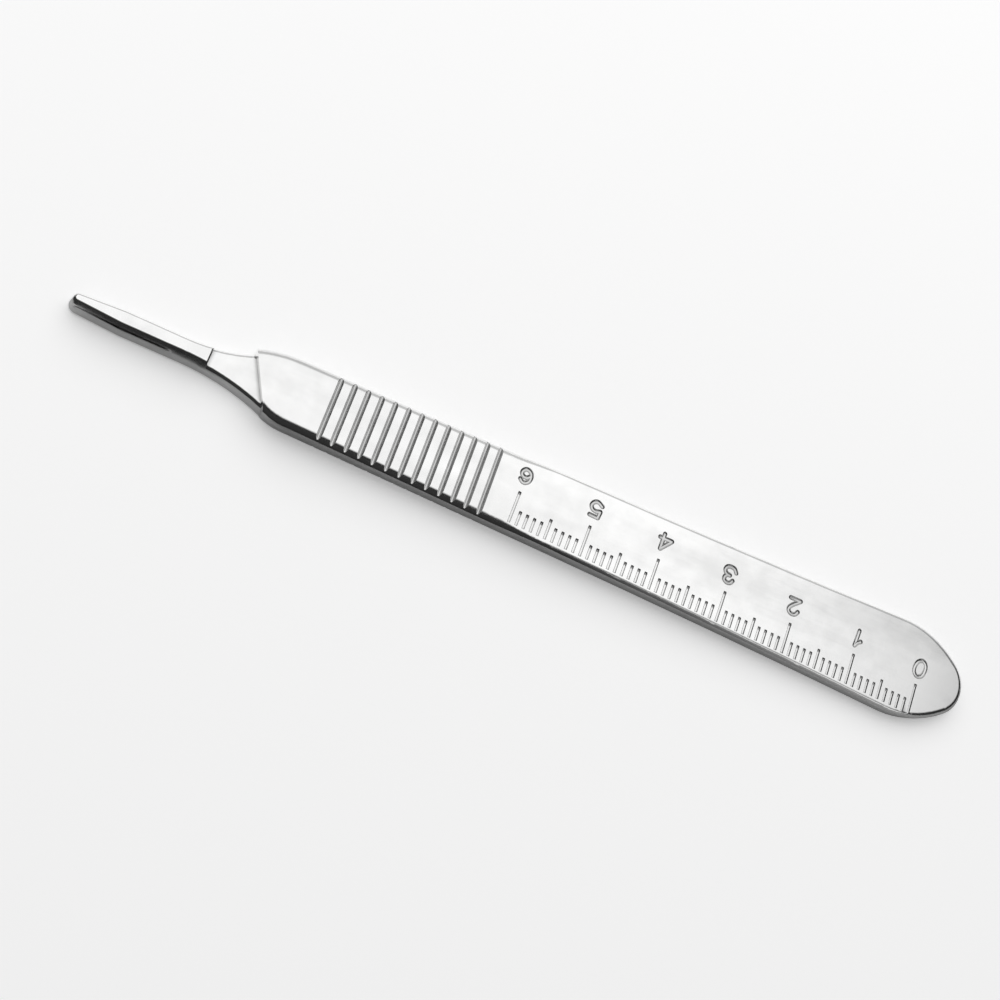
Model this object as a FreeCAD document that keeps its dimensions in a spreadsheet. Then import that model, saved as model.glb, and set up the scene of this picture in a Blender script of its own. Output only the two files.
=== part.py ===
import FreeCAD, Part
import math
import os
from FreeCAD import Vector, Placement, Rotation
import Sketcher

# Scalpel handle of polished stainless steel, made from one bar.
# +X runs from the blade fitting to the tail, +Y to the far edge, +Z is up.
# The handle lies on its flat back, and the origin is at the middle of its footprint.

SIZES = {
    # whole handle
    "length": 125.0,
    "front_thickness": 3.85,
    "tail_thickness": 2.3,
    # outline of the grip: straight sides up to the flare, then hollow curves towards the tail;
    # the rounding of the upper edges shrinks between the fade and the flare station
    "front_station": -30.0,
    "front_half_width": 4.33,
    "fade_station": -7.8,
    "flare_station": 0.0,
    "flare_half_width": 4.893,
    "rear_station": 45.0,
    "rear_half_width": 6.16,
    "tail_side_radius": 14.0,
    "tail_end_radius": 4.45,
    # slanted shoulder that the heel of the blade meets
    "shoulder_place": -39.2,
    "shoulder_angle": 27.3,
    "near_corner_half_width": 3.65,
    "near_corner_radius": 7.0,
    "far_corner_half_width": 3.15,
    "far_corner_radius": 17.0,
    # rounded edges of the grip
    "front_edge_radius": 1.0,
    "side_edge_radius": 0.55,
    "back_edge_radius": 0.4,
    "tail_edge_radius": 0.9,
    "tail_back_edge_radius": 1.3,
    # neck and blade fitting, with sides that lean in towards the top
    "tang_half_width": 1.5,
    "tang_taper_place": -56.0,
    "tang_draft": 12.0,
    "tang_back_chamfer": 0.35,
    "tip_radius": 1.15,
    "neck_near_radius": 30.0,
    "neck_far_radius": 19.5,
    "neck_inset": 0.05,
    "neck_root_place": -34.0,
    "neck_height": 2.3,
    "neck_edge_radius": 0.55,
    "lug_height": 3.2,
    "lug_edge_radius": 0.35,
    "lug_end": -45.3,
    # undercut slots that the blade slides into
    "slot_height": 1.75,
    "slot_width": 0.45,
    "slot_web_half_width": 0.6,
    "slot_runout_place": -52.0,
    "slot_cutter_radius": 6.0,
    # cross grooves of the grip
    "groove_count": 13,
    "groove_place": -30.2,
    "groove_pitch": 1.78,
    "groove_width": 0.74,
    "groove_depth": 0.5,
    "groove_root_radius": 0.12,
    # graduated scale along the near edge, its zero line towards the tail
    "scale_zero": 55.04,
    "scale_edge": 6.52,
    "scale_angle": 1.66,
    "scale_tens": 6,
    "line_spacing": 1.0,
    "line_width": 0.4,
    "line_depth": 0.12,
    "line_wall_angle": 40.0,
    "line_start": 0.75,
    "short_line_end": 2.7,
    "middle_line_end": 3.5,
    "long_line_end": 5.0,
}

# margin by which cutters pass the surfaces that they cut
CLEAR = 3.0
# distance within which an edge counts as lying at a height
TOUCH = 1e-3
# smallest volume that a cut or a rounding has to take away
LEAST_VOLUME = 1e-6
# largest slope, in degrees, of a face that counts as a top or a back
SLOPE_ANGLE = 25.0


def make_sheet(doc):
    """Spreadsheet with one named size in each row."""
    sheet = doc.addObject("Spreadsheet::Sheet", "Sizes")
    for row, (name, value) in enumerate(SIZES.items(), start=1):
        sheet.set("A%d" % row, name)
        sheet.set("B%d" % row, str(value))
        sheet.setAlias("B%d" % row, name)
    doc.recompute()
    return sheet


def plane_of(body, role):
    return next(item for item in body.Origin.OriginFeatures if item.Role == role)


class Outline:
    """A closed sketch outline whose sizes are bound to the sheet."""

    def __init__(self, body, name, role="XY_Plane"):
        self.sketch = body.newObject("Sketcher::SketchObject", name)
        self.sketch.AttachmentSupport = (plane_of(body, role), "")
        self.sketch.MapMode = "FlatFace"

    def raise_by(self, expression):
        self.sketch.setExpression("AttachmentOffset.Base.z", expression)

    def line(self, start, end):
        return self.sketch.addGeometry(Part.LineSegment(Vector(*start), Vector(*end)), False)

    def arc(self, centre, radius, start, end):
        """Arc drawn anticlockwise from one point's direction to the other's."""
        first = math.atan2(start[1] - centre[1], start[0] - centre[0])
        last = math.atan2(end[1] - centre[1], end[0] - centre[0])
        if last <= first:
            last += 2 * math.pi
        circle = Part.Circle(Vector(*centre), Vector(0, 0, 1), radius)
        return self.sketch.addGeometry(Part.ArcOfCircle(circle, first, last), False)

    def point(self, place, x_expression, y_expression):
        item = self.sketch.addGeometry(Part.Point(Vector(*place)), True)
        self.place(item, 1, x_expression, y_expression)
        return item

    def tie(self, *values):
        return self.sketch.addConstraint(Sketcher.Constraint(*values))

    def size(self, kind, *values):
        """Constraint whose last entry is an expression over the sheet."""
        expression = values[-1]
        datum = self.start_value(kind, values[:-1])
        number = self.tie(kind, *values[:-1], datum)
        self.sketch.setExpression("Constraints[%d]" % number, expression)
        return number

    def start_value(self, kind, where):
        """Value that the drawn geometry has for a radius or a distance."""
        if kind == "Radius":
            return self.sketch.Geometry[where[0]].Radius
        first, second = (self.sketch.getPoint(*where[i:i + 2]) for i in (0, 2))
        gap = second - first
        return gap.x if kind == "DistanceX" else gap.y

    def place(self, item, end, x_expression=None, y_expression=None):
        """Hold a point at a distance from the origin along each axis."""
        if x_expression is not None:
            self.size("DistanceX", -1, 1, item, end, x_expression)
        if y_expression is not None:
            self.size("DistanceY", -1, 1, item, end, y_expression)

    def polygon(self, corners):
        """Closed run of straight lines; each corner gives its place and its two expressions."""
        places = [corner[0] for corner in corners]
        lines = [self.line(a, b) for a, b in zip(places, places[1:] + places[:1])]
        for number, item in enumerate(lines):
            self.tie("Coincident", item, 2, lines[(number + 1) % len(lines)], 1)
            self.place(item, 1, corners[number][1], corners[number][2])
        return lines


def meeting(first, first_radius, second, second_radius, side):
    """Point at given distances from two centres; side picks one of the two, +1 on the left."""
    gap = math.dist(first, second)
    along = (first_radius ** 2 - second_radius ** 2 + gap ** 2) / (2 * gap)
    across = side * math.sqrt(first_radius ** 2 - along ** 2)
    ux, uy = (second[0] - first[0]) / gap, (second[1] - first[1]) / gap
    return (first[0] + along * ux - across * uy, first[1] + along * uy + across * ux)


def toward(centre, other, radius):
    """Point of a circle that lies towards, or with a negative radius away from, another point."""
    gap = math.dist(centre, other)
    return (centre[0] + radius * (other[0] - centre[0]) / gap,
            centre[1] + radius * (other[1] - centre[1]) / gap)


def shoulder_x(half_width, side):
    """Expression for where the slanted shoulder passes a half width; side is +1 on the far side."""
    sign = "-" if side > 0 else "+"
    return "Sizes.shoulder_place %s (%s) * tan(Sizes.shoulder_angle)" % (sign, half_width)


def signed(expression, side):
    """Expression for the same distance on the far side or, negative, on the near side."""
    return expression if side > 0 else "-(%s)" % expression


def add_pad(body, name, outline, length, draft=None):
    """Pad of an outline, with leaning walls where a draft is given."""
    pad = body.newObject("PartDesign::Pad", name)
    pad.Profile = outline.sketch
    pad.setExpression("Length", length)
    if draft:
        pad.setExpression("TaperAngle", draft)
    outline.sketch.Document.recompute()
    return pad


def straight_and_flare(size, side, corner, corner_radius):
    """Straight side and hollow flare: corner arc centre and end, flare start, flare centre, radius."""
    front = Vector(size("front_station"), side * size("front_half_width"))
    flare = Vector(size("flare_station"), side * size("flare_half_width"))
    rear = Vector(size("rear_station"), side * size("rear_half_width"))
    along = (flare - front).normalize()
    outward = Vector(-side * along.y, side * along.x)
    chord = rear - flare
    flare_radius = chord.dot(chord) / (2 * outward.dot(chord))
    flare_centre = flare + outward * flare_radius
    inner = front - outward * corner_radius - Vector(*corner)
    reach = inner.dot(along)
    shift = math.sqrt(reach ** 2 - inner.dot(inner) + corner_radius ** 2) - reach
    corner_end = front + along * shift
    corner_centre = corner_end - outward * corner_radius
    points = [(point.x, point.y) for point in (corner_centre, corner_end, flare, flare_centre)]
    return *points, flare_radius


def point_at(start, end, x):
    """Point of a straight line at the given place along the handle."""
    share = (x - start[0]) / (end[0] - start[0])
    return x, start[1] + share * (end[1] - start[1])


def grip_outline(body, size):
    """Plan of the grip: slanted front, straight sides, hollow flare and a round tail."""
    outline = Outline(body, "GripPlan")
    tail_radius, tail_side_radius = size("tail_end_radius"), size("tail_side_radius")
    slope = math.tan(math.radians(size("shoulder_angle")))
    tail_centre = (size("length") / 2 - tail_radius, 0.0)
    corners, sides, bulges, ends = {}, {}, {}, {}
    for side, edge in ((1, "far"), (-1, "near")):
        half_width = size(edge + "_corner_half_width")
        corners[side] = (size("shoulder_place") - side * half_width * slope, side * half_width)
        sides[side] = straight_and_flare(size, side, corners[side], size(edge + "_corner_radius"))
        flare_centre, flare_radius = sides[side][3:]
        bulges[side] = meeting(tail_centre, tail_side_radius - tail_radius,
                               flare_centre, flare_radius + tail_side_radius, side)
        ends[side] = toward(tail_centre, bulges[side], -tail_radius)

    end = outline.arc(tail_centre, tail_radius, ends[-1], ends[1])
    front_line = outline.line(corners[1], corners[-1])
    for side, edge in ((1, "far"), (-1, "near")):
        corner_centre, corner_end, flare_start, flare_centre, flare_radius = sides[side]
        flare_end = toward(bulges[side], flare_centre, tail_side_radius)
        # arcs run anticlockwise, so the two sides list their ends in opposite order
        runs = [(ends[side], flare_end), (flare_start, flare_end), (corner_end, corners[side])]
        if side < 0:
            runs = [(b, a) for a, b in runs]
        tail_side = outline.arc(bulges[side], tail_side_radius, *runs[0])
        flare = outline.arc(flare_centre, flare_radius, *runs[1])
        corner = outline.arc(corner_centre, size(edge + "_corner_radius"), *runs[2])
        fade_start = point_at(corner_end, flare_start, size("fade_station"))
        straight = outline.line(corner_end, fade_start)
        fade = outline.line(fade_start, flare_start)

        first, last = (1, 2) if side > 0 else (2, 1)
        outline.tie("Tangent", end, last, tail_side, first)
        outline.tie("Tangent", tail_side, last, flare, last)
        outline.tie("Tangent", flare, first, fade, 2)
        outline.tie("Tangent", fade, 1, straight, 2)
        outline.tie("Tangent", straight, 1, corner, first)
        outline.tie("Coincident", corner, last, front_line, first)
        outline.size("Radius", tail_side, "Sizes.tail_side_radius")
        outline.size("Radius", corner, "Sizes.%s_corner_radius" % edge)
        half_width = "Sizes.%s_corner_half_width" % edge
        outline.place(front_line, first, shoulder_x(half_width, side), signed(half_width, side))
        outline.place(straight, 2, "Sizes.fade_station")
        outline.place(fade, 2, "Sizes.flare_station", signed("Sizes.flare_half_width", side))
        for station, item in (("front", straight), ("rear", flare)):
            spot = (size(station + "_station"), side * size(station + "_half_width"))
            mark = outline.point(spot, "Sizes.%s_station" % station,
                                 signed("Sizes.%s_half_width" % station, side))
            outline.tie("PointOnObject", mark, 1, item)
    outline.size("Radius", end, "Sizes.tail_end_radius")
    outline.place(end, 3, "Sizes.length / 2 - Sizes.tail_end_radius", "0")
    return outline


def tang_outline(body, size):
    """Plan of the neck and blade fitting, from the rounded tip to a root inside the grip."""
    outline = Outline(body, "TangPlan")
    tip_radius, half_width = size("tip_radius"), size("tang_half_width")
    # the leaning wall and the bevel below it draw the tip in, so its plan reaches out by as much
    draft = math.radians(size("tang_draft"))
    reach = size("tang_back_chamfer") * math.sin(draft)
    tip_centre = (tip_radius - size("length") / 2 - reach, 0.0)
    slope = math.tan(math.radians(size("shoulder_angle")))
    root = size("neck_root_place")
    places = {}
    for side, edge in ((1, "far"), (-1, "near")):
        width = size(edge + "_corner_half_width") - size("neck_inset")
        neck_radius = size("neck_%s_radius" % edge)
        neck_end = (size("shoulder_place") - side * width * slope, side * width)
        rise = width - half_width
        start = neck_end[0] - math.sqrt(neck_radius ** 2 - (neck_radius - rise) ** 2)
        taper = (size("tang_taper_place"), side * half_width)
        touch = meeting(tip_centre, tip_radius, taper,
                        math.sqrt(math.dist(tip_centre, taper) ** 2 - tip_radius ** 2), side)
        places[side] = (touch, taper, (start, side * half_width), neck_end, (root, side * width), edge)

    tip = outline.arc(tip_centre, tip_radius, places[1][0], places[-1][0])
    roots = []
    for side in (1, -1):
        touch, taper, start, neck_end, corner, edge = places[side]
        lead = outline.line(touch, taper)
        shank = outline.line(taper, start)
        centre = (start[0], side * (half_width + size("neck_%s_radius" % edge)))
        ends = (start, neck_end) if side > 0 else (neck_end, start)
        neck = outline.arc(centre, size("neck_%s_radius" % edge), *ends)
        inner = outline.line(neck_end, corner)
        first, last = (1, 2) if side > 0 else (2, 1)
        width = "(Sizes.%s_corner_half_width - Sizes.neck_inset)" % edge
        outline.tie("Tangent", tip, first, lead, 1)
        outline.tie("Coincident", lead, 2, shank, 1)
        outline.place(shank, 1, "Sizes.tang_taper_place", signed("Sizes.tang_half_width", side))
        outline.tie("Horizontal", shank)
        outline.tie("Tangent", shank, 2, neck, first)
        outline.size("Radius", neck, "Sizes.neck_%s_radius" % edge)
        outline.place(neck, last, shoulder_x(width, side), signed(width, side))
        outline.tie("Coincident", neck, last, inner, 1)
        outline.tie("Horizontal", inner)
        outline.place(inner, 2, "Sizes.neck_root_place")
        roots.append(inner)
    back = outline.line(places[1][4], places[-1][4])
    outline.tie("Coincident", back, 1, roots[0], 2)
    outline.tie("Coincident", back, 2, roots[1], 2)
    outline.size("Radius", tip, "Sizes.tip_radius")
    outline.place(tip, 3, "Sizes.tip_radius - Sizes.length / 2"
                          " - Sizes.tang_back_chamfer * sin(Sizes.tang_draft)", "0")
    return outline


def top_height(place):
    """Expression for the height of the sloping top face at a place along the handle."""
    return ("Sizes.front_thickness - ((%s) - Sizes.shoulder_place) * (Sizes.front_thickness"
            " - Sizes.tail_thickness) / (Sizes.length / 2 - Sizes.shoulder_place)" % place)


def add_pocket(body, name, outline, length=None, sides="One side", reverse=False):
    """Pocket that has to take material away; without a length it goes through everything."""
    before = body.Shape.Volume
    pocket = body.newObject("PartDesign::Pocket", name)
    pocket.Profile = outline.sketch
    pocket.SideType = sides
    pocket.Reversed = reverse
    if length:
        pocket.setExpression("Length", length)
    else:
        pocket.Type = "ThroughAll"
    body.Document.recompute()
    must_shrink(name, before, pocket.Shape.Volume)
    return pocket


def must_shrink(name, before, after):
    """Stop the build where a feature takes no material away."""
    if not 0 < after < before - LEAST_VOLUME:
        raise ValueError("%s takes nothing away" % name)


def repeat(body, name, feature, axis, spacing, count):
    """Row of equal features along an axis of their sketch."""
    pattern = body.newObject("PartDesign::LinearPattern", name)
    pattern.Originals = [feature]
    pattern.Direction = (feature.Profile[0], [axis])
    pattern.Mode = "Spacing"
    pattern.setExpression("Offset", spacing)
    pattern.setExpression("Occurrences", count)
    body.Tip = pattern
    body.Document.recompute()
    return pattern


def build_grip(doc, size):
    """Grip with its flat back, sloping top and rounded long edges."""
    body = doc.addObject("PartDesign::Body", "Grip")
    blank = add_pad(body, "GripBlank", grip_outline(body, size),
                    "Sizes.front_thickness + %s" % CLEAR)

    slope = Outline(body, "TopSlope", "XZ_Plane")
    slope.raise_by("2 * Sizes.rear_half_width")
    front, rear = -size("length") / 2, size("length") / 2 + CLEAR
    top = size("front_thickness") + 2 * CLEAR
    front_x, rear_x = "-Sizes.length / 2", "Sizes.length / 2 + %s" % CLEAR
    top_z = "Sizes.front_thickness + %s" % (2 * CLEAR)
    slope.polygon([
        ((front, size("front_thickness")), front_x, top_height(front_x)),
        ((rear, size("tail_thickness")), rear_x, top_height(rear_x)),
        ((rear, top), rear_x, top_z),
        ((front, top), front_x, top_z),
    ])
    cut = add_pocket(body, "TopCut", slope)
    # the sides stay split at the fade station, where the rounding starts to change
    for feature in (blank, cut):
        feature.Refine = False
    doc.recompute()
    return round_grip(doc, body, size)


def round_grip(doc, body, size):
    """Rounding of the long edges, fuller round the tail."""
    shape = body.Shape
    upright = math.cos(math.radians(SLOPE_ANGLE))
    faces = sorted((face for face in shape.Faces if abs(face.normalAt(0, 0).z) > upright),
                   key=lambda face: face.CenterOfMass.z)
    entries = []
    back = (size("back_edge_radius"), size("back_edge_radius"), size("tail_back_edge_radius"))
    top = (size("front_edge_radius"), size("side_edge_radius"), size("tail_edge_radius"))
    for face, radii in ((faces[0], back), (faces[-1], top)):
        chain = [(number, edge) for number, edge in enumerate(shape.Edges, start=1)
                 if any(edge.isSame(other) for other in face.Edges)
                 and not is_shoulder(edge, size)]
        chain.sort(key=lambda item: -item[1].Length)
        # the radii are listed along the chain, in the direction of its first edge
        start, finish = (vertex.Point for vertex in chain[0][1].Vertexes)
        turn = (finish.x - start.x) * start.y
        for number, edge in chain:
            pair = edge_radii(edge, size, *radii)
            backwards = turn * edge.CenterOfMass.y < 0
            entries.append((number, *(pair[::-1] if backwards else pair)))
    rounding = doc.addObject("Part::Fillet", "GripRounded")
    rounding.Base = body
    rounding.Edges = entries
    doc.recompute()
    must_shrink("GripRounded", shape.Volume, rounding.Shape.Volume)
    return rounding


def is_shoulder(edge, size):
    """Whether an edge of the grip lies along the slanted shoulder, which stays sharp."""
    return all(vertex.Point.x < size("front_station") for vertex in edge.Vertexes) \
        and type(edge.Curve) is Part.Line


def edge_radii(edge, size, front, side, tail):
    """Radii at an edge's front and tail end: full in front, then less, growing round the tail."""
    first, last = (vertex.Point for vertex in edge.Vertexes)
    middle = (first.x + last.x) / 2
    if middle < size("fade_station"):
        return front, front
    if middle < size("flare_station"):
        return front, side
    if middle < size("rear_station"):
        return side, side
    if first.y * last.y > 0:
        return side, tail
    return tail, tail


def build_tang(doc, size):
    """Neck and blade fitting: a lug with undercut slots, and a lower floor behind it."""
    body = doc.addObject("PartDesign::Body", "Tang")
    outline = tang_outline(body, size)
    blank = add_pad(body, "TangBlank", outline, "Sizes.lug_height", draft="-Sizes.tang_draft")
    bevel_tang_back(body, blank)

    floor = Outline(body, "NeckFloor", "XZ_Plane")
    end, rear = size("lug_end"), size("neck_root_place") + CLEAR
    low, high = size("neck_height"), size("lug_height") + CLEAR
    rear_x, high_z = "Sizes.neck_root_place + %s" % CLEAR, "Sizes.lug_height + %s" % CLEAR
    floor.polygon([
        ((end, low), "Sizes.lug_end", "Sizes.neck_height"),
        ((rear, low), rear_x, "Sizes.neck_height"),
        ((rear, high), rear_x, high_z),
        ((end, high), "Sizes.lug_end", high_z),
    ])
    neck = add_pocket(body, "NeckCut", floor, sides="Symmetric")
    round_neck(body, neck, size)
    round_lug(body, size)
    cut_slots(body, size)
    return body


def bevel_tang_back(body, blank):
    """Small bevel round the edge on which the neck and the blade fitting lie."""
    bevel = body.newObject("PartDesign::Chamfer", "TangBack")
    names = ["Edge%d" % number for number, edge in enumerate(blank.Shape.Edges, start=1)
             if edge.BoundBox.ZMax < TOUCH]
    bevel.Base = (blank, names)
    bevel.setExpression("Size", "Sizes.tang_back_chamfer")
    body.Document.recompute()


def round_neck(body, neck, size):
    """Rounding of the neck's upper edges, which the lug's rear face ends."""
    rounding = body.newObject("PartDesign::Fillet", "NeckEdges")
    names = []
    for number, edge in enumerate(neck.Shape.Edges, start=1):
        box = edge.BoundBox
        on_floor = abs(box.ZMin - size("neck_height")) < TOUCH and box.ZLength < TOUCH
        if on_floor and box.XLength > box.YLength:
            names.append("Edge%d" % number)
    rounding.Base = (neck, names)
    rounding.setExpression("Radius", "Sizes.neck_edge_radius")
    body.Document.recompute()


def round_lug(body, size):
    """Rounding of all the edges of the lug's top face."""
    shape = body.Shape
    rounding = body.newObject("PartDesign::Fillet", "LugEdges")
    names = ["Edge%d" % number for number, edge in enumerate(shape.Edges, start=1)
             if edge.BoundBox.ZMin > size("lug_height") - TOUCH]
    rounding.Base = (body.getObject("NeckEdges"), names)
    rounding.setExpression("Radius", "Sizes.lug_edge_radius")
    body.Document.recompute()
    must_shrink("LugEdges", shape.Volume, rounding.Shape.Volume)


def cut_slots(body, size):
    """Undercut slots along both sides of the lug, with round run-outs."""
    plan = Outline(body, "SlotPlan")
    plan.raise_by("Sizes.slot_height")
    web, radius = size("slot_web_half_width"), size("slot_cutter_radius")
    runout, outer = size("slot_runout_place"), size("tang_half_width") + CLEAR
    start = -size("length") / 2 - CLEAR
    rise = outer - web
    finish = (runout + math.sqrt(radius ** 2 - (radius - rise) ** 2), outer)
    centre = (runout, web + radius)
    outer_y = "Sizes.tang_half_width + %s" % CLEAR
    inner = plan.line((start, web), (runout, web))
    arc = plan.arc(centre, radius, (runout, web), finish)
    top = plan.line(finish, (start, outer))
    left = plan.line((start, outer), (start, web))
    plan.tie("Tangent", inner, 2, arc, 1)
    plan.tie("Coincident", arc, 2, top, 1)
    plan.tie("Coincident", top, 2, left, 1)
    plan.tie("Coincident", left, 2, inner, 1)
    plan.tie("Horizontal", inner)
    plan.tie("Horizontal", top)
    plan.size("Radius", arc, "Sizes.slot_cutter_radius")
    plan.place(inner, 1, "-Sizes.length / 2 - %s" % CLEAR, "Sizes.slot_web_half_width")
    plan.place(inner, 2, "Sizes.slot_runout_place")
    plan.place(left, 1, "-Sizes.length / 2 - %s" % CLEAR, outer_y)
    slot = add_pocket(body, "FarSlot", plan, "Sizes.slot_width", reverse=True)
    mirrored = body.newObject("PartDesign::Mirrored", "NearSlot")
    mirrored.Originals = [slot]
    mirrored.MirrorPlane = (plane_of(body, "XZ_Plane"), [""])
    body.Tip = mirrored
    body.Document.recompute()
    must_shrink("NearSlot", slot.Shape.Volume, mirrored.Shape.Volume)


def lay_on_top(body):
    """Set a cutter's own frame on the sloping top face, above the shoulder."""
    # the angle drawn first only keeps the axis; the expression sets the slope
    body.Placement = Placement(Vector(), Rotation(Vector(0, 1, 0), 1.0))
    body.setExpression("Placement.Base.x", "Sizes.shoulder_place")
    body.setExpression("Placement.Base.z", "Sizes.front_thickness")
    body.setExpression("Placement.Rotation.Angle",
                       "atan((Sizes.front_thickness - Sizes.tail_thickness)"
                       " / (Sizes.length / 2 - Sizes.shoulder_place))")


def lay_on_back(body):
    """Set a cutter's own frame upside down on the flat back, below the shoulder."""
    body.Placement = Placement(Vector(), Rotation(Vector(1, 0, 0), 180.0))
    body.setExpression("Placement.Base.x", "Sizes.shoulder_place")


def groove_cutter(doc, name, size):
    """Row of round-bottomed notches that run across the grip."""
    body = doc.addObject("PartDesign::Body", name)
    notch = Outline(body, name + "Notch", "XZ_Plane")
    middle = size("groove_place") - size("shoulder_place")
    half, depth = size("groove_width") / 2, size("groove_depth")
    root = size("groove_root_radius")
    centre = (middle, root - depth)
    touches = {}
    for side in (-1, 1):
        lip = (middle + side * half, 0.0)
        reach = math.sqrt(math.dist(centre, lip) ** 2 - root ** 2)
        touches[side] = meeting(centre, root, lip, reach, -side)
    bottom = notch.arc(centre, root, touches[-1], touches[1])
    middle_x = "(Sizes.groove_place - Sizes.shoulder_place)"
    for side, first in ((-1, 1), (1, 2)):
        lip = (middle + side * half, 0.0)
        wall = notch.line(touches[side], lip)
        riser = notch.line(lip, (lip[0], CLEAR))
        lip_x = "%s %s Sizes.groove_width / 2" % (middle_x, "+" if side > 0 else "-")
        notch.tie("Tangent", bottom, first, wall, 1)
        notch.tie("Coincident", wall, 2, riser, 1)
        notch.place(riser, 1, lip_x, "0")
        notch.place(riser, 2, lip_x, "%s" % CLEAR)
    lid = notch.line((middle - half, CLEAR), (middle + half, CLEAR))
    notch.tie("Coincident", lid, 1, bottom + 2, 2)
    notch.tie("Coincident", lid, 2, bottom + 4, 2)
    notch.size("Radius", bottom, "Sizes.groove_root_radius")
    notch.place(bottom, 3, middle_x, "Sizes.groove_root_radius - Sizes.groove_depth")
    pad = add_pad(body, name + "Bar", notch, "4 * Sizes.rear_half_width")
    pad.SideType = "Symmetric"
    repeat(body, name + "Row", pad, "H_Axis", "Sizes.groove_pitch", "Sizes.groove_count")
    return body


def scale_cutter(doc, size):
    """Graduations square to the near edge: a long line at each ten, a middle one at each five."""
    body = doc.addObject("PartDesign::Body", "ScaleLines")
    spacing = size("line_spacing")
    groups = (
        ("Long", (0,), "Sizes.long_line_end", 10, "Sizes.scale_tens + 1"),
        ("Middle", (5,), "Sizes.middle_line_end", 10, "Sizes.scale_tens"),
        ("Short", (1, 2, 3, 4), "Sizes.short_line_end", 5, "2 * Sizes.scale_tens"),
    )
    for name, places, end, step, count in groups:
        plan = Outline(body, name + "Plan")
        plan.sketch.AttachmentOffset = Placement(Vector(), Rotation(Vector(0, 0, 1), -1.0))
        plan.sketch.setExpression("AttachmentOffset.Base.x", "Sizes.scale_zero - Sizes.shoulder_place")
        plan.sketch.setExpression("AttachmentOffset.Base.y", "-Sizes.scale_edge")
        plan.sketch.setExpression("AttachmentOffset.Rotation.Angle", "-Sizes.scale_angle")
        for place in places:
            draw_line_slot(plan, size, place, spacing, end)
        pad = add_pad(body, name + "Line", plan, "2 * Sizes.line_depth",
                      draft="-Sizes.line_wall_angle")
        pad.SideType = "Symmetric"
        pattern = repeat(body, name + "Row", pad, "H_Axis", "%d * Sizes.line_spacing" % step, count)
        pattern.Reversed = True
    doc.recompute()
    return body


def draw_line_slot(plan, size, place, spacing, end):
    """Outline of one line, square at both ends."""
    middle, half = -place * spacing, size("line_width") / 2
    low, high = size("line_start"), size(end.split(".")[1])
    left_x = "-%d * Sizes.line_spacing - Sizes.line_width / 2" % place
    right_x = "-%d * Sizes.line_spacing + Sizes.line_width / 2" % place
    plan.polygon([
        ((middle - half, low), left_x, "Sizes.line_start"),
        ((middle + half, low), right_x, "Sizes.line_start"),
        ((middle + half, high), right_x, end),
        ((middle - half, high), left_x, end),
    ])


def subtract(doc, name, base, tool):
    """Cut of a tool from a solid that has to take material away."""
    cut = doc.addObject("Part::Cut", name)
    cut.Base = base
    cut.Tool = tool
    doc.recompute()
    must_shrink(name, base.Shape.Volume, cut.Shape.Volume)
    return cut


def check_document(doc):
    for item in doc.Objects:
        if "Invalid" in item.State or "Error" in item.State:
            raise ValueError("%s failed: %s" % (item.Label, item.State))


def check_piece(piece):
    if piece.Shape.isNull() or not piece.Shape.isValid() or len(piece.Shape.Solids) != 1:
        raise ValueError("%s is not one valid solid" % piece.Label)


def main():
    doc = FreeCAD.newDocument("ScalpelHandle")
    sheet = make_sheet(doc)

    def size(name):
        return float(getattr(sheet, name))

    blank = doc.addObject("Part::Fuse", "Blank")
    blank.Base = build_grip(doc, size)
    blank.Tool = build_tang(doc, size)
    doc.recompute()

    top_grooves = groove_cutter(doc, "TopGrooves", size)
    lay_on_top(top_grooves)
    back_grooves = groove_cutter(doc, "BackGrooves", size)
    lay_on_back(back_grooves)
    scale = scale_cutter(doc, size)
    lay_on_top(scale)
    handle = subtract(doc, "TopGrooved", blank, top_grooves)
    handle = subtract(doc, "BackGrooved", handle, back_grooves)
    handle = subtract(doc, "Handle", handle, scale)
    handle.Label = "scalpel_handle"

    check_document(doc)
    check_piece(handle)
    os.makedirs("parts", exist_ok=True)
    handle.Shape.exportStep("parts/%s.step" % handle.Label)
    return doc


main()
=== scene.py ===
import math

import bmesh
import bpy
import numpy as np
from mathutils import Euler, Matrix, Vector


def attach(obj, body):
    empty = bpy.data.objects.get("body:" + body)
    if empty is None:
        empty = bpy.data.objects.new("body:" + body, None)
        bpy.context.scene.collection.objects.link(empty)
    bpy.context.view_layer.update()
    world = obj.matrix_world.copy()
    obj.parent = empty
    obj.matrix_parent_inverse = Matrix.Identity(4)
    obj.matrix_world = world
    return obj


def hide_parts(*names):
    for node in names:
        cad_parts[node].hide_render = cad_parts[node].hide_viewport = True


MM = 0.001

# camera: place in mm, turn in degrees, lens and sensor in mm
CAMERA_PLACE = (-41.755, -53.415, 156.498)
CAMERA_TURN = (12.8026, -18.1904, 19.8389)
CAMERA_LENS = 48.6
SENSOR_WIDTH = 36.0
CLIP_START = 0.01

# top face of the handle, in mm
TOP_AT_SHOULDER = 3.85
TOP_AT_TAIL = 2.3
SHOULDER_X = -39.2
TAIL_X = 62.5

# angle by which the scale and its row of figures lean
ROW_TURN = math.radians(1.66)

# figures: a round-bottomed groove follows each stroke, sizes in mm
GROOVE_RADIUS = 0.34
GROOVE_WIDTH = 0.64
RING_SIDES = 24
CAP_RINGS = 5
STEPS_PER_SPAN = 5

# graduated scale in mm: zero point, number of lines, how far the lines reach from the near edge,
# and the dimple that ends a line
SCALE_ZERO = (55.04, -6.52)
SCALE_LINES = 61
SHORT_END = 2.7
MIDDLE_END = 3.5
LONG_END = 5.0
DIMPLE_RADIUS = 0.24
DIMPLE_LIFT = 0.04
DIMPLE_SUBDIVISIONS = 2

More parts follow.
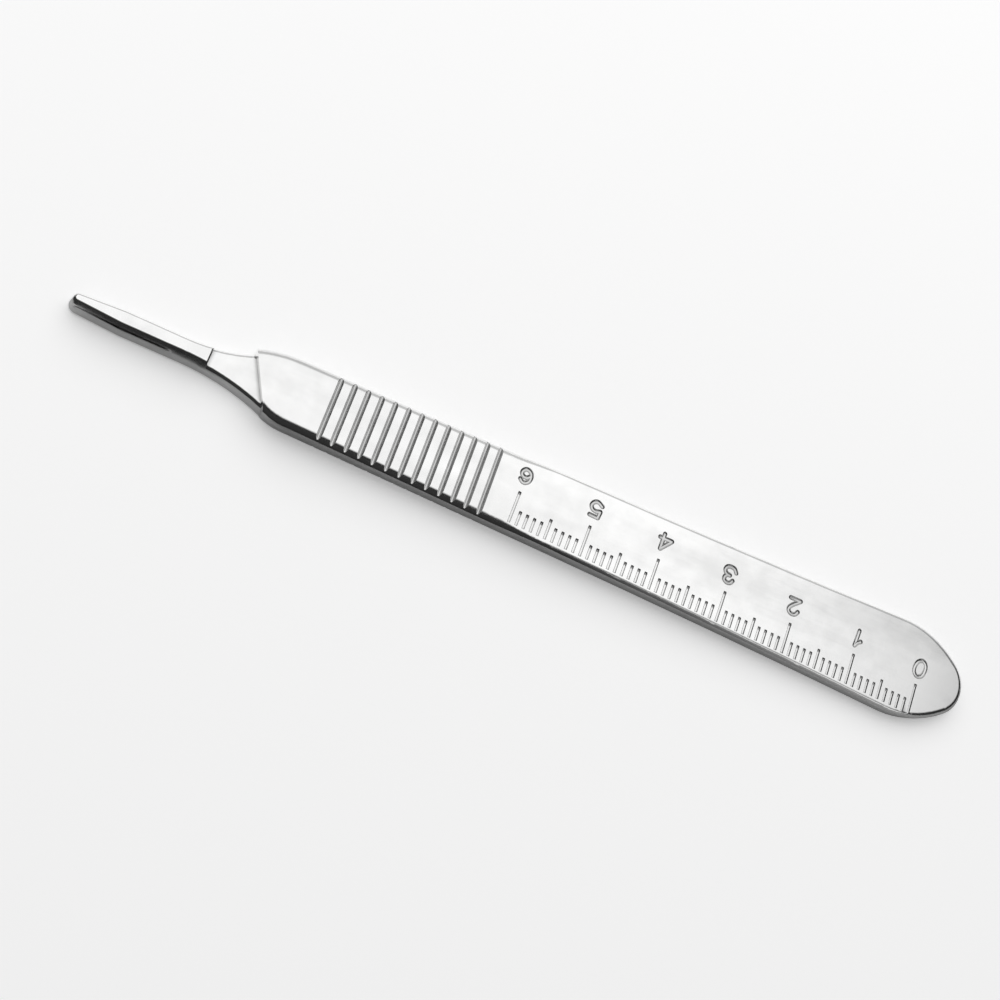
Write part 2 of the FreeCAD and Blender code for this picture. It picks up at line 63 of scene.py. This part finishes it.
# centre of each figure on the top face, in mm
FIGURE_PLACES = {
    "6": (-4.59, 2.40),
    "5": (5.36, 2.21),
    "4": (15.38, 2.08),
    "3": (25.16, 1.60),
    "2": (35.11, 1.31),
    "1": (45.01, 0.89),
    "0": (54.97, 0.46),
}

# strokes of each figure in mm, x to its right and y to its top
FIGURE_STROKES = {
    "0": [
        [(-0.12, 0.93), (-0.78, 0.62), (-1.08, -0.15), (-1.02, -0.95), (-0.48, -1.38),
         (0.18, -1.08), (0.52, -0.3), (0.46, 0.5), (-0.12, 0.93)],
    ],
    "1": [
        [(0.03, 1.0), (-0.12, -1.12)],
        [(0.03, 1.0), (-0.28, 0.52), (-0.7, 0.2)],
    ],
    "2": [
        [(-0.68, 0.48), (-0.42, 0.88), (0.1, 1.04), (0.6, 0.82), (0.68, 0.38),
         (0.3, -0.16), (-0.66, -1.02)],
        [(-0.66, -1.04), (0.86, -0.98)],
    ],
    "3": [
        [(-0.58, 0.56), (-0.32, 0.94), (0.14, 1.05), (0.58, 0.84), (0.62, 0.42),
         (0.36, 0.1), (0.0, 0.02)],
        [(0.0, 0.02), (0.55, -0.08), (0.84, -0.48), (0.66, -0.94), (0.14, -1.12),
         (-0.4, -1.04), (-0.76, -0.62)],
    ],
    "4": [
        [(0.4, 1.1), (-0.82, -0.4)],
        [(-0.82, -0.42), (0.88, -0.34)],
        [(0.42, 1.1), (0.4, -0.95)],
    ],
    "5": [
        [(0.72, 0.97), (-0.46, 0.95)],
        [(-0.46, 0.95), (-0.52, 0.12)],
        [(-0.52, 0.1), (0.06, 0.26), (0.6, 0.14), (0.86, -0.32), (0.62, -0.8),
         (0.1, -0.98), (-0.54, -0.68)],
    ],
    "6": [
        [(0.72, 0.64), (0.36, 0.9), (-0.06, 0.86), (-0.42, 0.52), (-0.52, 0.0),
         (-0.38, -0.52), (0.02, -0.8), (0.44, -0.78), (0.76, -0.42), (0.7, 0.0),
         (0.34, 0.2), (-0.06, 0.14), (-0.44, -0.2)],
    ],
}

# finishes of the steel, in the order of the handle's materials: the dark and the light tone of its
# clouds, its roughness, and the tone of its rubbed edges
FINISHES = {
    "polished_steel": ((0.8, 0.8, 0.797), (0.92, 0.92, 0.916), 0.14, (0.94, 0.94, 0.936)),
    # the milled and stamped finishes are rougher, and their darker tones are painted shade in the
    # dimples and figures
    "milled_steel_and_painted_shade": ((0.46, 0.46, 0.458), (0.58, 0.58, 0.577), 0.28, (0.8, 0.8, 0.796)),
    "stamped_steel_and_painted_shade": ((0.64, 0.64, 0.637), (0.76, 0.76, 0.756), 0.2, (0.88, 0.88, 0.876)),
}
# places in that order of the dimples' finish and the figures' finish, both darkened by painted
# shade; the rest is polished
MILLED_AND_SHADED, STAMPED_AND_SHADED = 1, 2

# patterns of the steel: repeats in a metre, along and across the bar where they differ, and detail
LONG_CLOUDS = ((28.0, 170.0, 170.0), 3.0)
SMALL_CLOUDS = (420.0, 4.0)
SCRATCHES = ((150.0, 2600.0, 2600.0), 5.0)
PORES = (2400.0, 3.0)
# shares of the two clouds, and the part of each pattern's range that is used
CLOUD_SHARES = (0.7, 0.3)
CLOUD_RANGE = (0.38, 0.6)
SCRATCH_RANGE = (0.3, 0.7)
# roughness in dark and in light clouds, and what scratches add, as shares of the finish's own
CLOUD_ROUGHNESS = (1.3, 0.8)
SCRATCH_ROUGHNESS = 0.4
# strengths of the small relief and its height in m
SCRATCH_RELIEF = 0.12
PORE_RELIEF = 0.1
RELIEF_HEIGHT = 0.00002

# rubbed edges: width in m, cosines of the turn at which wear begins and is full, and its patches
WEAR_WIDTH = 0.00012
WEAR_TURNS = (0.995, 0.9)
WEAR_PATCHES = (0.4, 0.6)
LEAST_WEAR = 0.2
WEAR_SAMPLES = 4

# painted shade in recesses: reach in m, tone of a closed place, and the openness at which it begins
# and ends
RECESS_REACH = 0.0005
RECESS_SHADE_TONE = 0.62
RECESS_OPENNESS = (0.5, 0.95)
RECESS_SAMPLES = 8

# smoothing and cleaning of the mesh: distances in m, the angle in degrees, and the share that
# large faces have in the normals
WELD_DISTANCE = 1e-7
CLOSED_GAP = 1e-9
SHARP_ANGLE = 28.0
FLAT_WEIGHT = 80

# studio: sizes in m, light levels where 1 is white
FLOOR_SIZE = 6.0
FLOOR_SEGMENTS = 8
FLOOR_COLOR = (0.95, 0.95, 0.95, 1.0)
FLOOR_LIFT = 0.28
ROOM_LEVEL = 0.3
SOFTBOX_SIZE = (1.96, 1.92)
SOFTBOX_PLACE = (-0.42, 1.04, 0.7)
SOFTBOX_RADIANCE = 1.03

# what polished metal mirrors: dark walls and soft light panels, each given by its direction,
# the cosines of the angles where it begins and is full, and its level
WALL_LEVEL = 0.03
PANELS = [
    ((-0.02, 0.24, 0.97), 0.64, 0.93, 1.38),
    ((0.0, 1.0, 0.15), 0.45, 0.85, 0.75),
    ((0.52, -0.55, 0.65), 0.955, 0.995, 0.9),
]

# a card round the near side and both ends, seen only in the metal, that paints reflections there: a
# grey strip that starts under the handle paints the shaded floor, and a dark part that rises
# outwards paints dark surroundings, all in mm
CARD_INNER = [
    (-60.5, 1.2), (-61.8, 0.5), (-61.8, -0.5), (-60.5, -1.0), (-46.0, -1.0), (-38.5, -3.0),
    (0.0, -4.3), (45.0, -5.5), (52.0, -5.7), (57.0, -4.6), (61.0, -2.0), (61.8, 0.0), (61.0, 2.0),
]
CARD_MIDDLE = [
    (-61.5, 2.6), (-63.5, 1.3), (-63.6, -1.1), (-61.5, -2.7), (-46.0, -2.8), (-38.0, -5.1),
    (0.0, -6.3), (45.0, -7.5), (52.5, -7.9), (58.5, -6.7), (62.9, -3.4), (64.0, 0.0), (63.1, 3.4),
]
CARD_HEIGHT = 0.02
CARD_GROWTH = 2.4
CARD_RISE = 30.0
# tones of the strip's painted shade and of the dark part's painted dark reflection, which grows
# lighter towards the tail between two places
STRIP_SHADE_TONE = 0.66
DARK_TONE = 0.04
TAIL_TONE = 0.35
TAIL_TONE_FROM = 5.0
TAIL_TONE_FULL = 50.0


def add_object(name, data):
    """A new object in the scene."""
    made = bpy.data.objects.new(name, data)
    bpy.context.scene.collection.objects.link(made)
    return made


def finished_mesh(bm, name, materials):
    """A new mesh with the form built so far and these materials."""
    mesh = bpy.data.meshes.new(name)
    bm.to_mesh(mesh)
    bm.free()
    for material in materials:
        mesh.materials.append(material)
    return mesh


def top_height(x):
    """Height of the sloping top face at x, all in mm."""
    share = (x - SHOULDER_X) / (TAIL_X - SHOULDER_X)
    return TOP_AT_SHOULDER + share * (TOP_AT_TAIL - TOP_AT_SHOULDER)


def from_scale(along, across):
    """Place on the handle of a point given by its distances on the scale."""
    cos, sin = math.cos(ROW_TURN), math.sin(ROW_TURN)
    return SCALE_ZERO[0] + cos * along + sin * across, SCALE_ZERO[1] - sin * along + cos * across


def line_end(number):
    """Distance from the near edge at which a line of the scale ends."""
    if number % 10 == 0:
        return LONG_END
    return MIDDLE_END if number % 5 == 0 else SHORT_END


def smooth_line(points):
    """Points along a smooth line through the given ones."""
    if len(points) == 2:
        return [np.array(points[0]), np.array(points[1])]
    p = [np.array(q) for q in points]
    closed = np.allclose(p[0], p[-1])
    before = p[-2] if closed else 2 * p[0] - p[1]
    after = p[1] if closed else 2 * p[-1] - p[-2]
    p = [before] + p + [after]
    line = []
    for i in range(1, len(p) - 2):
        for step in range(STEPS_PER_SPAN):
            t = step / STEPS_PER_SPAN
            line.append(
                0.5
                * (
                    2 * p[i]
                    + (p[i + 1] - p[i - 1]) * t
                    + (2 * p[i - 1] - 5 * p[i] + 4 * p[i + 1] - p[i + 2]) * t**2
                    + (3 * p[i] - p[i - 1] - 3 * p[i + 1] + p[i + 2]) * t**3
                )
            )
    line.append(p[-2])
    return line


def add_ring(bm, centre, along, up, radius):
    """Ring of vertices square to a direction."""
    side = along.cross(up)
    ring = []
    for k in range(RING_SIDES):
        angle = 2 * math.pi * k / RING_SIDES
        ring.append(bm.verts.new(centre + radius * (math.cos(angle) * side + math.sin(angle) * up)))
    return ring


def add_stroke(bm, points, radius):
    """A round bar with ball ends along a line of points, as the tool that cuts one stroke."""
    up = Vector((0, 0, 1))
    closed = (points[0] - points[-1]).length < CLOSED_GAP
    if closed:
        points = points[:-1]
    count = len(points)
    rings = []
    for i, point in enumerate(points):
        ahead = points[(i + 1) % count] if closed else points[min(i + 1, count - 1)]
        behind = points[i - 1] if closed else points[max(i - 1, 0)]
        along = (ahead - behind).normalized()
        square = (up - up.dot(along) * along).normalized()
        # a cap of shrinking rings rounds each free end
        low = 1 - CAP_RINGS if i == 0 and not closed else 0
        high = CAP_RINGS - 1 if i == count - 1 and not closed else 0
        for k in range(low, high + 1):
            angle = 0.5 * math.pi * k / CAP_RINGS
            centre = point + radius * math.sin(angle) * along
            rings.append(add_ring(bm, centre, along, square, radius * math.cos(angle)))
    pairs = list(zip(rings, rings[1:]))
    if closed:
        pairs.append((rings[-1], rings[0]))
    else:
        bm.faces.new(rings[0])
        bm.faces.new(rings[-1])
    for a, b in pairs:
        for k in range(RING_SIDES):
            j = (k + 1) % RING_SIDES
            bm.faces.new((a[k], a[j], b[j], b[k]))


def figure_cutter(materials):
    """One mesh with the bars for every stroke of every figure and the dimples of the scale lines."""
    bm = bmesh.new()
    lift = math.sqrt(GROOVE_RADIUS**2 - (GROOVE_WIDTH / 2) ** 2)
    right = np.array((-math.cos(ROW_TURN), math.sin(ROW_TURN)))
    top = np.array((-math.sin(ROW_TURN), -math.cos(ROW_TURN)))
    for name, (cx, cy) in FIGURE_PLACES.items():
        for stroke in FIGURE_STROKES[name]:
            line = []
            for gx, gy in smooth_line(stroke):
                x, y = np.array((cx, cy)) + gx * right + gy * top
                line.append(Vector((x, y, top_height(x) + lift)) * MM)
            add_stroke(bm, line, GROOVE_RADIUS * MM)
    # the figures' grooves take the stamped finish, rougher and darkened by painted shade
    for face in bm.faces:
        face.material_index = STAMPED_AND_SHADED
    figure_faces = len(bm.faces)
    for number in range(SCALE_LINES):
        x, y = from_scale(-number, line_end(number) - DIMPLE_RADIUS)
        centre = Vector((x, y, top_height(x) + DIMPLE_LIFT)) * MM
        bmesh.ops.create_icosphere(
            bm, subdivisions=DIMPLE_SUBDIVISIONS, radius=DIMPLE_RADIUS * MM,
            matrix=Matrix.Translation(centre),
        )
    bmesh.ops.recalc_face_normals(bm, faces=bm.faces)
    # the dimples take the milled finish, rougher and darkened by painted shade
    for face in list(bm.faces)[figure_faces:]:
        face.material_index = MILLED_AND_SHADED
    return add_object("figure_cutter", finished_mesh(bm, "figure_cutter", materials))


def baked_mesh(piece, name):
    """The piece's mesh with its modifiers applied."""
    graph = bpy.context.evaluated_depsgraph_get()
    mesh = bpy.data.meshes.new_from_object(
        piece.evaluated_get(graph), preserve_all_data_layers=True, depsgraph=graph
    )
    mesh.name = name
    return mesh


def build_handle(materials):
    """The steel handle: the solid's own form with the figures of the scale cut into its top face."""
    bm = bmesh.new()
    bm.from_mesh(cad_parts["scalpel_handle"].data)
    bmesh.ops.remove_doubles(bm, verts=bm.verts, dist=WELD_DISTANCE)
    piece = add_object("steel_handle", finished_mesh(bm, "handle_form", materials))

    cutter = figure_cutter(materials)
    cut = piece.modifiers.new("figures", "BOOLEAN")
    cut.operation = "DIFFERENCE"
    cut.solver = "EXACT"
    cut.use_self = True
    cut.object = cutter
    piece.data = baked_mesh(piece, "handle_with_figures")
    piece.modifiers.clear()
    bpy.data.objects.remove(cutter)

    bm = bmesh.new()
    bm.from_mesh(piece.data)
    limit = math.radians(SHARP_ANGLE)
    for face in bm.faces:
        face.smooth = True
    for edge in bm.edges:
        if len(edge.link_faces) == 2:
            edge.smooth = edge.calc_face_angle() < limit
    bm.to_mesh(piece.data)
    bm.free()
    weighted = piece.modifiers.new("even_flats", "WEIGHTED_NORMAL")
    weighted.mode = "FACE_AREA"
    weighted.weight = FLAT_WEIGHT
    weighted.keep_sharp = True
    return piece


def new_material(name):
    """An empty node material with its nodes and links."""
    material = bpy.data.materials.new(name)
    material.use_nodes = True
    material.node_tree.nodes.clear()
    return material, material.node_tree.nodes, material.node_tree.links


def noise(nodes, links, vector, scale, detail):
    """Soft random pattern."""
    node = nodes.new("ShaderNodeTexNoise")
    node.inputs["Scale"].default_value = scale
    node.inputs["Detail"].default_value = detail
    links.new(vector, node.inputs["Vector"])
    return node.outputs["Fac"]


def drawn_out(nodes, links, vector, scale, detail):
    """Soft random pattern with its own scale along each axis."""
    node = nodes.new("ShaderNodeMapping")
    node.inputs["Scale"].default_value = scale
    links.new(vector, node.inputs["Vector"])
    return noise(nodes, links, node.outputs["Vector"], 1.0, detail)


def spread(nodes, links, value, low, high, to_low, to_high):
    """A value between low and high brought to the range from to_low to to_high."""
    node = nodes.new("ShaderNodeMapRange")
    node.inputs["From Min"].default_value = low
    node.inputs["From Max"].default_value = high
    node.inputs["To Min"].default_value = to_low
    node.inputs["To Max"].default_value = to_high
    links.new(value, node.inputs["Value"])
    return node.outputs["Result"]


def joined(nodes, links, operation, first, second):
    """Two values, each a number or a socket, brought together by a sum, product or maximum."""
    node = nodes.new("ShaderNodeMath")
    node.operation = operation
    for socket, value in zip(node.inputs, (first, second)):
        if isinstance(value, float):
            socket.default_value = value
        else:
            links.new(value, socket)
    return node.outputs["Value"]


def bumped(nodes, links, height, strength, distance, before=None):
    """Normal that follows a small height pattern."""
    node = nodes.new("ShaderNodeBump")
    node.inputs["Strength"].default_value = strength
    node.inputs["Distance"].default_value = distance
    links.new(height, node.inputs["Height"])
    if before:
        links.new(before, node.inputs["Normal"])
    return node.outputs["Normal"]


def steel(name, dark, light, roughness, wear):
    """Stainless steel: clouds of polish, wiping scratches, pores, rubbed edges and painted shade in
    recesses.
    """
    material, nodes, links = new_material(name)
    out = nodes.new("ShaderNodeOutputMaterial")
    shader = nodes.new("ShaderNodeBsdfPrincipled")
    shader.inputs["Metallic"].default_value = 1.0
    links.new(shader.outputs["BSDF"], out.inputs["Surface"])
    place = nodes.new("ShaderNodeTexCoord").outputs["Object"]

    long_clouds = drawn_out(nodes, links, place, *LONG_CLOUDS)
    small_clouds = noise(nodes, links, place, *SMALL_CLOUDS)
    scratches = drawn_out(nodes, links, place, *SCRATCHES)
    pores = noise(nodes, links, place, *PORES)

    rounded = nodes.new("ShaderNodeBevel")
    rounded.samples = WEAR_SAMPLES
    rounded.inputs["Radius"].default_value = WEAR_WIDTH
    flat = nodes.new("ShaderNodeNewGeometry")
    turn = nodes.new("ShaderNodeVectorMath")
    turn.operation = "DOT_PRODUCT"
    links.new(rounded.outputs["Normal"], turn.inputs[0])
    links.new(flat.outputs["Normal"], turn.inputs[1])
    edge = spread(nodes, links, turn.outputs["Value"], *WEAR_TURNS, 0.0, 1.0)
    patches = spread(nodes, links, small_clouds, *WEAR_PATCHES, LEAST_WEAR, 1.0)
    patchy = joined(nodes, links, "MULTIPLY", edge, patches)

    clouds = joined(
        nodes, links, "ADD",
        joined(nodes, links, "MULTIPLY", long_clouds, CLOUD_SHARES[0]),
        joined(nodes, links, "MULTIPLY", small_clouds, CLOUD_SHARES[1]),
    )
    tone = nodes.new("ShaderNodeMix")
    tone.data_type = "RGBA"
    tone.inputs["A"].default_value = (*dark, 1)
    tone.inputs["B"].default_value = (*light, 1)
    links.new(spread(nodes, links, clouds, *CLOUD_RANGE, 0.0, 1.0), tone.inputs["Factor"])
    worn = nodes.new("ShaderNodeMix")
    worn.data_type = "RGBA"
    worn.inputs["B"].default_value = (*wear, 1)
    links.new(tone.outputs["Result"], worn.inputs["A"])
    links.new(patchy, worn.inputs["Factor"])

    # painted shade: the base colour darkens where nearby surfaces close a place in
    recess = nodes.new("ShaderNodeAmbientOcclusion")
    recess.only_local = True
    recess.samples = RECESS_SAMPLES
    recess.inputs["Distance"].default_value = RECESS_REACH
    openness = spread(nodes, links, recess.outputs["AO"], *RECESS_OPENNESS, RECESS_SHADE_TONE, 1.0)
    shaded_in_recesses = nodes.new("ShaderNodeVectorMath")
    shaded_in_recesses.operation = "SCALE"
    links.new(worn.outputs["Result"], shaded_in_recesses.inputs["Vector"])
    links.new(openness, shaded_in_recesses.inputs["Scale"])
    links.new(shaded_in_recesses.outputs["Vector"], shader.inputs["Base Color"])

    ends = [share * roughness for share in CLOUD_ROUGHNESS]
    cloudy = spread(nodes, links, clouds, *CLOUD_RANGE, *ends)
    lined = spread(nodes, links, scratches, *SCRATCH_RANGE, 0.0, SCRATCH_ROUGHNESS * roughness)
    links.new(joined(nodes, links, "ADD", cloudy, lined), shader.inputs["Roughness"])

    wiped = bumped(nodes, links, scratches, SCRATCH_RELIEF, RELIEF_HEIGHT)
    grainy = bumped(nodes, links, pores, PORE_RELIEF, RELIEF_HEIGHT, wiped)
    links.new(grainy, shader.inputs["Normal"])
    return material


def seen_directly(nodes, links):
    """1 for rays from the camera and for reflected and refracted ones, and 0 for the rest."""
    rays = nodes.new("ShaderNodeLightPath").outputs
    first = joined(nodes, links, "MAXIMUM", rays["Is Camera Ray"], rays["Is Glossy Ray"])
    return joined(nodes, links, "MAXIMUM", first, rays["Is Transmission Ray"])


def build_floor():
    """Pale matt floor that looks a little lighter than the lamps alone make it."""
    bm = bmesh.new()
    bmesh.ops.create_grid(
        bm, x_segments=FLOOR_SEGMENTS, y_segments=FLOOR_SEGMENTS, size=FLOOR_SIZE / 2
    )
    material, nodes, links = new_material("pale_floor")
    out = nodes.new("ShaderNodeOutputMaterial")
    matt = nodes.new("ShaderNodeBsdfDiffuse")
    matt.inputs["Color"].default_value = FLOOR_COLOR
    glow = nodes.new("ShaderNodeEmission")
    lift = joined(nodes, links, "MULTIPLY", seen_directly(nodes, links), FLOOR_LIFT)
    links.new(lift, glow.inputs["Strength"])
    total = nodes.new("ShaderNodeAddShader")
    links.new(matt.outputs["BSDF"], total.inputs[0])
    links.new(glow.outputs["Emission"], total.inputs[1])
    links.new(total.outputs["Shader"], out.inputs["Surface"])
    floor = add_object("floor", finished_mesh(bm, "floor", [material]))


def matt_material(name, tone, tail_tone):
    """Matt grey that turns from one tone to another towards the tail."""
    material, nodes, links = new_material(name)
    out = nodes.new("ShaderNodeOutputMaterial")
    matt = nodes.new("ShaderNodeBsdfDiffuse")
    place = nodes.new("ShaderNodeSeparateXYZ")
    links.new(nodes.new("ShaderNodeTexCoord").outputs["Object"], place.inputs["Vector"])
    grey = spread(
        nodes, links, place.outputs["X"], TAIL_TONE_FROM * MM, TAIL_TONE_FULL * MM, tone, tail_tone
    )
    links.new(grey, matt.inputs["Color"])
    links.new(matt.outputs["BSDF"], out.inputs["Surface"])
    return material


def build_painted_reflections():
    """Grey strip and dark card that only the metal mirrors, as painted shade and painted dark
    reflections.
    """
    bm = bmesh.new()
    rims = [
        [(x, y, CARD_HEIGHT) for x, y in CARD_INNER],
        [(x, y, CARD_HEIGHT) for x, y in CARD_MIDDLE],
        [(CARD_GROWTH * x, CARD_GROWTH * y - CARD_RISE, CARD_RISE) for x, y in CARD_MIDDLE],
    ]
    rims = [[bm.verts.new(Vector(point) * MM) for point in rim] for rim in rims]
    for part, (inner, outer) in enumerate(zip(rims, rims[1:])):
        for i in range(len(inner) - 1):
            face = bm.faces.new((inner[i], inner[i + 1], outer[i + 1], outer[i]))
            face.material_index = part
    greys = [
        matt_material("painted_shade_strip", STRIP_SHADE_TONE, STRIP_SHADE_TONE),
        matt_material("painted_dark_card", DARK_TONE, TAIL_TONE),
    ]
    card = add_object("painted_reflection_card", finished_mesh(bm, "painted_reflection_card", greys))
    # hidden from the camera, from diffuse light and from shadows, the card only paints shade and
    # dark reflections into the metal
    card.visible_camera = False
    card.visible_diffuse = False
    card.visible_shadow = False


def build_lights():
    """Even room light, the soft panels that metal mirrors, and one large softbox."""
    world = bpy.data.worlds.new("studio")
    bpy.context.scene.world = world
    world.use_nodes = True
    nodes, links = world.node_tree.nodes, world.node_tree.links
    nodes.clear()
    out = nodes.new("ShaderNodeOutputWorld")
    sky = nodes.new("ShaderNodeBackground")
    way = nodes.new("ShaderNodeTexCoord")
    mirrored = WALL_LEVEL
    for towards, begins, full, strength in PANELS:
        nearness = nodes.new("ShaderNodeVectorMath")
        nearness.operation = "DOT_PRODUCT"
        nearness.inputs[1].default_value = Vector(towards).normalized()
        links.new(way.outputs["Generated"], nearness.inputs[0])
        panel = nodes.new("ShaderNodeMapRange")
        panel.interpolation_type = "SMOOTHSTEP"
        panel.inputs["From Min"].default_value = begins
        panel.inputs["From Max"].default_value = full
        panel.inputs["To Max"].default_value = strength
        links.new(nearness.outputs["Value"], panel.inputs["Value"])
        mirrored = joined(nodes, links, "MAXIMUM", mirrored, panel.outputs["Result"])
    level = nodes.new("ShaderNodeMix")
    level.data_type = "FLOAT"
    level.inputs["A"].default_value = ROOM_LEVEL
    links.new(mirrored, level.inputs["B"])
    links.new(seen_directly(nodes, links), level.inputs["Factor"])
    links.new(level.outputs["Result"], sky.inputs["Strength"])
    links.new(sky.outputs["Background"], out.inputs["Surface"])

    lamp = bpy.data.lights.new("softbox", "AREA")
    lamp.shape = "RECTANGLE"
    lamp.size, lamp.size_y = SOFTBOX_SIZE
    # an area lamp shines with a quarter of its power per area
    lamp.energy = 4 * SOFTBOX_RADIANCE * SOFTBOX_SIZE[0] * SOFTBOX_SIZE[1]
    softbox = add_object("softbox", lamp)
    softbox.location = SOFTBOX_PLACE
    softbox.visible_glossy = False


def build_camera():
    """Camera that looks down on the handle as in the photograph."""
    data = bpy.data.cameras.new("camera")
    data.sensor_width = SENSOR_WIDTH
    data.lens = CAMERA_LENS
    data.clip_start = CLIP_START
    camera = add_object("camera", data)
    turn = Euler([math.radians(angle) for angle in CAMERA_TURN]).to_matrix().to_4x4()
    camera.matrix_world = Matrix.Translation(Vector(CAMERA_PLACE) * MM) @ turn
    bpy.context.scene.camera = camera


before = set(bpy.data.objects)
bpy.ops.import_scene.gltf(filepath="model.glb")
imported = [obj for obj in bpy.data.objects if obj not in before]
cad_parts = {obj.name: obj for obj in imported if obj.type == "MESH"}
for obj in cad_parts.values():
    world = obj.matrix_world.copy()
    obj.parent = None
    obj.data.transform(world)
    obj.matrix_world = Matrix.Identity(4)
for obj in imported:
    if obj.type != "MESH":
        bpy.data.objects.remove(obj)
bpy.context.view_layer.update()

handle = build_handle([steel(name, *finish) for name, finish in FINISHES.items()])
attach(handle, "root")
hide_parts("scalpel_handle")

build_floor()
build_painted_reflections()
build_lights()
build_camera()
bpy.context.scene.view_settings.view_transform = "Standard"
